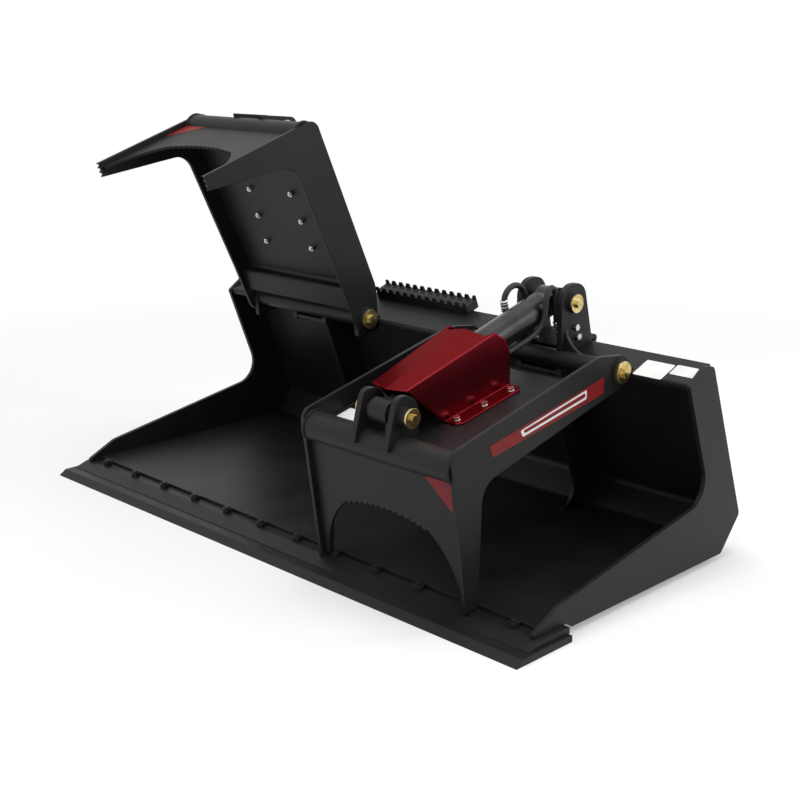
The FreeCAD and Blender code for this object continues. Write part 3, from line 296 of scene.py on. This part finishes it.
# Hydraulic hoses: each route runs from the pipe on the bucket to the elbow on the barrel, in metres.
hoses = {
    "diameter": 0.016, "order": 3, "stepsAlong": 14, "stepsAround": 6,
    "rightBaseHose": [(0.4185, 0.1988, 0.5888), (0.4185, 0.1897, 0.6131), (0.4145, 0.181, 0.64),
                      (0.4125, 0.175, 0.668), (0.4125, 0.16, 0.694), (0.4125, 0.132, 0.704),
                      (0.4125, 0.105, 0.696), (0.4095, 0.0899, 0.6698), (0.4095, 0.0973, 0.6449)],
    "rightRodHose": [(0.5065, 0.1988, 0.5888), (0.5065, 0.1897, 0.6131), (0.5105, 0.184, 0.64),
                     (0.5125, 0.181, 0.668), (0.5125, 0.175, 0.694), (0.513, 0.16, 0.7065),
                     (0.5135, 0.146, 0.699), (0.5135, 0.1385, 0.677), (0.5125, 0.137, 0.655),
                     (0.511, 0.1365, 0.631),
                     (0.507, 0.131, 0.609), (0.502, 0.113, 0.59), (0.4985, 0.086, 0.5765),
                     (0.496, 0.052, 0.5665), (0.4945, 0.018, 0.5565), (0.4925, -0.018, 0.5455),
                     (0.489, -0.0601, 0.5291),
                     (0.489, -0.0850, 0.5217)],
    "leftBaseHose": [(-0.4185, 0.1988, 0.5888), (-0.4185, 0.1897, 0.6131), (-0.4145, 0.184, 0.64),
                     (-0.4125, 0.189, 0.668), (-0.4125, 0.206, 0.692), (-0.4125, 0.226, 0.712),
                     (-0.4115, 0.238, 0.738), (-0.4105, 0.231, 0.768), (-0.4095, 0.2131, 0.7884),
                     (-0.4095, 0.1892, 0.7782)],
    "leftRodHose": [(-0.5065, 0.1988, 0.5888), (-0.5065, 0.1897, 0.6131), (-0.5105, 0.184, 0.64),
                    (-0.5125, 0.191, 0.668), (-0.5125, 0.208, 0.69), (-0.5125, 0.225, 0.709),
                    (-0.5115, 0.227, 0.736), (-0.5111, 0.209, 0.754), (-0.5107, 0.187, 0.762),
                    (-0.5105, 0.16, 0.775),
                    (-0.504, 0.127, 0.801), (-0.4935, 0.095, 0.842), (-0.489, 0.072, 0.886),
                    (-0.489, 0.0564, 0.9215), (-0.489, 0.0461, 0.9454)],
    "bendRight": ((0.46, 0.189, 0.62), (0.46, 0.14, 0.62)),
    "bendLeft": ((-0.46, 0.2, 0.612), (-0.46, 0.2, 0.76)),
}


def makeHose(name, node):
    points = hoses[name]
    curve = bpy.data.curves.new(name + "Line", "CURVE")
    curve.dimensions = "3D"
    spline = curve.splines.new("NURBS")
    spline.points.add(len(points) - 1)
    for point, place in zip(spline.points, points):
        point.co = (*place, 1)
    spline.order_u = hoses["order"]
    spline.use_endpoint_u = True
    curve.resolution_u = hoses["stepsAlong"]
    curve.bevel_depth = hoses["diameter"] / 2
    curve.bevel_resolution = hoses["stepsAround"]
    curve.use_fill_caps = True
    line = bpy.data.objects.new(name + "Line", curve)
    bpy.context.scene.collection.objects.link(line)
    mesh = bpy.data.meshes.new_from_object(line)
    bpy.data.objects.remove(line)
    mesh.materials.clear()
    mesh.materials.append(finishes["hose_rubber"])
    hose = bpy.data.objects.new(name, mesh)
    bpy.context.scene.collection.objects.link(hose)
    mesh.shade_smooth()
    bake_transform(hose)
    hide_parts(node)


for side in ("right", "left"):
    for end in ("base", "rod"):
        makeHose(side + end.capitalize() + "Hose", side + "_" + end + "_hose")
print("hoses laid")

# Crimped steel collars where each hose meets its pipe or elbow: radius and height in millimetres
crimpCollar = {
    "profile": [(0, -1), (9.2, -1), (10.0, 0.5), (10.0, 5), (9.3, 6), (9.3, 8), (10.0, 9), (10.0, 14),
                (9.3, 15), (9.3, 17), (10.0, 18), (10.0, 22), (8.7, 24), (0, 24)],
    "steps": 28, "sharpFrom": 0.6, "mergeWithin": 0.00001,
}


def turnedCollar(name, place, direction, body):
    # the profile spun round its axis, then set at place and pointed along direction
    bm = bmesh.new()
    ring = [bm.verts.new((radius / 1000, 0, height / 1000)) for radius, height in crimpCollar["profile"]]
    edges = [bm.edges.new(pair) for pair in zip(ring[:-1], ring[1:])]
    bmesh.ops.spin(bm, geom=ring + edges, cent=(0, 0, 0), axis=(0, 0, 1), angle=math.tau,
                   steps=crimpCollar["steps"], use_merge=True, use_duplicate=False)
    bmesh.ops.remove_doubles(bm, verts=bm.verts, dist=crimpCollar["mergeWithin"])
    bmesh.ops.recalc_face_normals(bm, faces=bm.faces)
    aim = Vector(direction).to_track_quat("Z", "Y").to_matrix().to_4x4()
    bmesh.ops.transform(bm, matrix=Matrix.Translation(Vector(place)) @ aim, verts=bm.verts)
    for edge in bm.edges:
        if len(edge.link_faces) == 2 and edge.calc_face_angle(0) > crimpCollar["sharpFrom"]:
            edge.smooth = False
    return finishedPiece(name, bm, finishes["bright_zinc"], body)


for side in ("right", "left"):
    for end in ("Base", "Rod"):
        word = side + end
        route = [Vector(p) for p in hoses[word + "Hose"]]
        turnedCollar(word + "PipeCollar", route[0], route[1] - route[0], "bucket")
        turnedCollar(word + "ElbowCollar", route[-1], route[-2] - route[-1], side + "_base_pins")
print("hose collars crimped")

# Fillet welds, painted over with the parts they join: rings round the tubes, runs along the plates
welds = {
    "size": 0.0045, "ringSteps": 72, "beadSegments": 8,
    "knuckleTube": {"centre": (-0.400, 0.393), "radius": 0.038, "ends": (0.2155, 0.7095)},
    "skinRuns": [((0.2165, -0.350, 0.4014), (0.2165, 0.055, 0.4992)),
                 ((0.7085, -0.350, 0.4014), (0.7085, 0.055, 0.4992))],
}


def ringWeld(bm, x, centre, radius):
    quarter = math.pi / 2
    turn = Matrix.Rotation(-quarter, 4, "Y") @ Matrix.Rotation(quarter, 4, "X")
    place = Matrix.Translation((x, centre[0], centre[1] + radius))
    made = bmesh.ops.create_circle(bm, cap_ends=False, radius=welds["size"], segments=welds["beadSegments"],
                                   matrix=place @ turn)
    geom = made["verts"] + list({edge for vert in made["verts"] for edge in vert.link_edges})
    bmesh.ops.spin(bm, geom=geom, cent=(x, *centre), axis=(1, 0, 0), angle=math.tau, steps=welds["ringSteps"],
                   use_merge=True, use_duplicate=False)


def runWeld(bm, start, end):
    along = end - start
    place = Matrix.Translation((start + end) / 2) @ along.to_track_quat("Z", "Y").to_matrix().to_4x4()
    bmesh.ops.create_cone(bm, cap_ends=True, segments=welds["beadSegments"], radius1=welds["size"],
                          radius2=welds["size"], depth=along.length, matrix=place)


for side in ("right", "left"):
    bm = bmesh.new()
    tube = welds["knuckleTube"]
    for x in tube["ends"]:
        ringWeld(bm, x, tube["centre"], tube["radius"])
    for start, end in welds["skinRuns"]:
        runWeld(bm, Vector(start), Vector(end))
    if side == "left":
        for vert in bm.verts:
            vert.co = openPlace(vert.co)
    bmesh.ops.recalc_face_normals(bm, faces=bm.faces)
    finishedPiece(side + "GrappleWelds", bm, finishes["black_powder_coat"], side + "_grapple")
print("welds run")

# Plain vinyl films: each is a few corners, rounded and given the film's thickness, held proud of the paint
films = {
    "thickness": 0.0005, "lift": 0.0002, "cornerRadius": 0.004, "cornerSteps": 4,
    "sideBand": [(0.7200, -0.3106, 0.4272), (0.7200, -0.2962, 0.3985), (0.7200, 0.1180, 0.4700),
                 (0.7200, 0.1180, 0.5120)],
    "sidePanel": [(0.7205, -0.2010, 0.4420), (0.7205, -0.1925, 0.4250), (0.7205, 0.0480, 0.4700),
                  (0.7205, 0.0480, 0.4930)],
    "sideStripe": [(0.7210, -0.1900, 0.4405), (0.7210, -0.1860, 0.4330), (0.7210, 0.0420, 0.4757),
                   (0.7210, 0.0420, 0.4866)],
    "frontCorner": [(0.6130, -0.41315, 0.3580), (0.7070, -0.41315, 0.3580), (0.7070, -0.40130, 0.2718)],
    "barPanels": [[(0.7395, 0.2092, 0.5072), (0.7395, 0.2742, 0.5318), (0.8245, 0.2742, 0.5318),
                   (0.8245, 0.2092, 0.5072)],
                  [(0.8290, 0.2382, 0.5181), (0.8290, 0.2782, 0.5333), (0.8985, 0.2782, 0.5333),
                   (0.8985, 0.2382, 0.5181)]],
    "skinPanel": [(0.2240, -0.3450, 0.40158), (0.2240, -0.2850, 0.41606), (0.3000, -0.2850, 0.41606),
                  (0.3000, -0.3450, 0.40158)],
    "plateOut": (1, 0, 0), "frontOut": (0, -0.9907, -0.1362), "skinUp": (0, -0.2347, 0.9721),
    "backLean": 20.7,
}


def makeFilm(name, corners, outward, material, body):
    bm = bmesh.new()
    places = [bm.verts.new(corner) for corner in corners]
    bmesh.ops.contextual_create(bm, geom=places)
    bmesh.ops.bevel(bm, geom=places, offset=films["cornerRadius"], offset_type="OFFSET",
                    segments=films["cornerSteps"], profile=0.5, affect="VERTICES", material=-1)
    outward = Vector(outward).normalized()
    bmesh.ops.translate(bm, verts=bm.verts, vec=outward * films["lift"])
    made = bmesh.ops.extrude_face_region(bm, geom=list(bm.faces))
    raised = [item for item in made["geom"] if isinstance(item, bmesh.types.BMVert)]
    bmesh.ops.translate(bm, verts=raised, vec=outward * films["thickness"])
    bmesh.ops.recalc_face_normals(bm, faces=bm.faces)
    return finishedPiece(name, bm, material, body, smooth=False)


backLean = math.radians(films["backLean"])
barUp = (0, -math.sin(backLean), math.cos(backLean))
for side in ("right", "left"):
    for key, facing, material in (("sideBand", "plateOut", redVinyl), ("sidePanel", "plateOut", whiteVinyl),
                                  ("sideStripe", "plateOut", redVinyl), ("frontCorner", "frontOut", redVinyl),
                                  ("skinPanel", "skinUp", whiteVinyl)):
        start, tip = sidePlaces([(0, 0, 0), films[facing]], side)
        makeFilm(side + key[0].upper() + key[1:], sidePlaces(films[key], side), tip - start, material,
                 side + "_grapple")
for word, corners in zip(("First", "Second"), films["barPanels"]):
    makeFilm("topBar" + word + "Panel", corners, barUp, whiteVinyl, "bucket")
print("films laid")

# Camera where the photograph was taken from: place in metres, turns in degrees
view = {"place": (2.6598, -2.5101, 1.3561), "around": 45.381, "down": 15.585, "roll": -0.324,
        "lens": 60.31, "sensor": 36, "farthest": 100}


def makeCamera():
    around, down, roll = (math.radians(view[name]) for name in ("around", "down", "roll"))
    ahead = Vector((-math.sin(around) * math.cos(down), math.cos(around) * math.cos(down), -math.sin(down)))
    right = Vector((math.cos(around), math.sin(around), 0))
    up = right.cross(ahead)
    rolledRight = right * math.cos(roll) + up * math.sin(roll)
    rolledUp = up * math.cos(roll) - right * math.sin(roll)
    data = bpy.data.cameras.new("photoCamera")
    data.lens = view["lens"]
    data.sensor_width = view["sensor"]
    data.clip_end = view["farthest"]
    camera = bpy.data.objects.new("photoCamera", data)
    turned = Matrix((rolledRight, rolledUp, -ahead)).transposed().to_4x4()
    camera.matrix_world = Matrix.Translation(view["place"]) @ turned
    bpy.context.scene.collection.objects.link(camera)
    bpy.context.scene.camera = camera


makeCamera()

# Pale studio: white to the camera and in reflections, while a bright ceiling over dim walls gives the
# light; the floor keeps the shadow near the object and fades to white from whiteFrom to whiteBy metres away
studio = {
    "floorSize": 16, "floorColor": "#d4d4d4", "floorGlow": 0.28, "whiteFrom": 1.7, "whiteBy": 3.4,
    "wallLight": 0.14, "ceilingLight": 1.0, "wallTop": 0.28, "ceilingFrom": 0.80,
    "boxes": [
        {"name": "topBox", "place": (0.2, -0.4, 4.0), "aim": (0.1, 0, 0.2), "size": 3.0, "watts": 68},
        {"name": "rightBox", "place": (4.2, 1.6, 2.2), "aim": (0.2, 0, 0.3), "size": 2.0, "watts": 36},
        {"name": "rimBox", "place": (2.4, 3.7, 2.5), "aim": (0.2, 0, 0.3), "size": 1.2, "watts": 26},
        {"name": "frontBox", "place": (0.2, -4.6, 1.6), "aim": (0, 0, 0.3), "size": 2.2, "watts": 16},
    ],
}


def seenDirectly(tree):
    # 1 for rays that show the room: from the camera, off a gloss or through glass
    path = tree.nodes.new("ShaderNodeLightPath")
    seen = path.outputs["Is Camera Ray"]
    for kind in ("Is Glossy Ray", "Is Transmission Ray"):
        either = addNode(tree, "ShaderNodeMath", links={0: seen, 1: path.outputs[kind]}, operation="MAXIMUM")
        seen = either.outputs[0]
    return seen


def makeStudio():
    world = bpy.data.worlds.new("whiteRoom")
    bpy.context.scene.world = world
    world.use_nodes = True
    tree = world.node_tree
    tree.nodes.clear()
    direction = tree.nodes.new("ShaderNodeTexCoord").outputs["Generated"]
    toward = addNode(tree, "ShaderNodeSeparateXYZ", links={0: direction})
    level = mappedValue(tree, toward.outputs["Z"], studio["wallLight"], studio["ceilingLight"],
                        studio["wallTop"], studio["ceilingFrom"])
    room = addNode(tree, "ShaderNodeBackground", {"Color": (1, 1, 1, 1)}, {"Strength": level})
    shown = addNode(tree, "ShaderNodeBackground", {"Color": (1, 1, 1, 1), "Strength": 1.0})
    mixed = addNode(tree, "ShaderNodeMixShader",
                    links={0: seenDirectly(tree), 1: room.outputs[0], 2: shown.outputs[0]})
    addNode(tree, "ShaderNodeOutputWorld", links={"Surface": mixed.outputs[0]})

    paper = bpy.data.materials.new("whitePaperSweep")
    paper.use_nodes = True
    tree = paper.node_tree
    tree.nodes.clear()
    plain = addNode(tree, "ShaderNodeBsdfDiffuse", {"Color": hexColor(studio["floorColor"])})
    glow = addNode(tree, "ShaderNodeEmission", {"Strength": studio["floorGlow"]})
    glowing = addNode(tree, "ShaderNodeAddShader", links={0: plain.outputs[0], 1: glow.outputs[0]})
    white = addNode(tree, "ShaderNodeEmission", {"Strength": 1.0})
    spot = tree.nodes.new("ShaderNodeTexCoord").outputs["Object"]
    away = addNode(tree, "ShaderNodeVectorMath", links={0: spot}, operation="LENGTH")
    fade = mappedValue(tree, away.outputs["Value"], 0.0, 1.0, studio["whiteFrom"], studio["whiteBy"])
    sweep = addNode(tree, "ShaderNodeMixShader", links={0: fade, 1: glowing.outputs[0], 2: white.outputs[0]})
    mixed = addNode(tree, "ShaderNodeMixShader",
                    links={0: seenDirectly(tree), 1: plain.outputs[0], 2: sweep.outputs[0]})
    addNode(tree, "ShaderNodeOutputMaterial", links={"Surface": mixed.outputs[0]})
    bm = bmesh.new()
    bmesh.ops.create_grid(bm, x_segments=1, y_segments=1, size=studio["floorSize"])
    finishedPiece("floor", bm, paper, smooth=False)

    for box in studio["boxes"]:
        data = bpy.data.lights.new(box["name"], "AREA")
        data.shape = "SQUARE"
        data.size = box["size"]
        data.energy = box["watts"]
        lamp = bpy.data.objects.new(box["name"], data)
        lamp.location = box["place"]
        lamp.rotation_euler = (Vector(box["place"]) - Vector(box["aim"])).to_track_quat("Z", "Y").to_euler()
        bpy.context.scene.collection.objects.link(lamp)


makeStudio()
bpy.context.scene.view_settings.view_transform = "Standard"
print("camera and studio set")
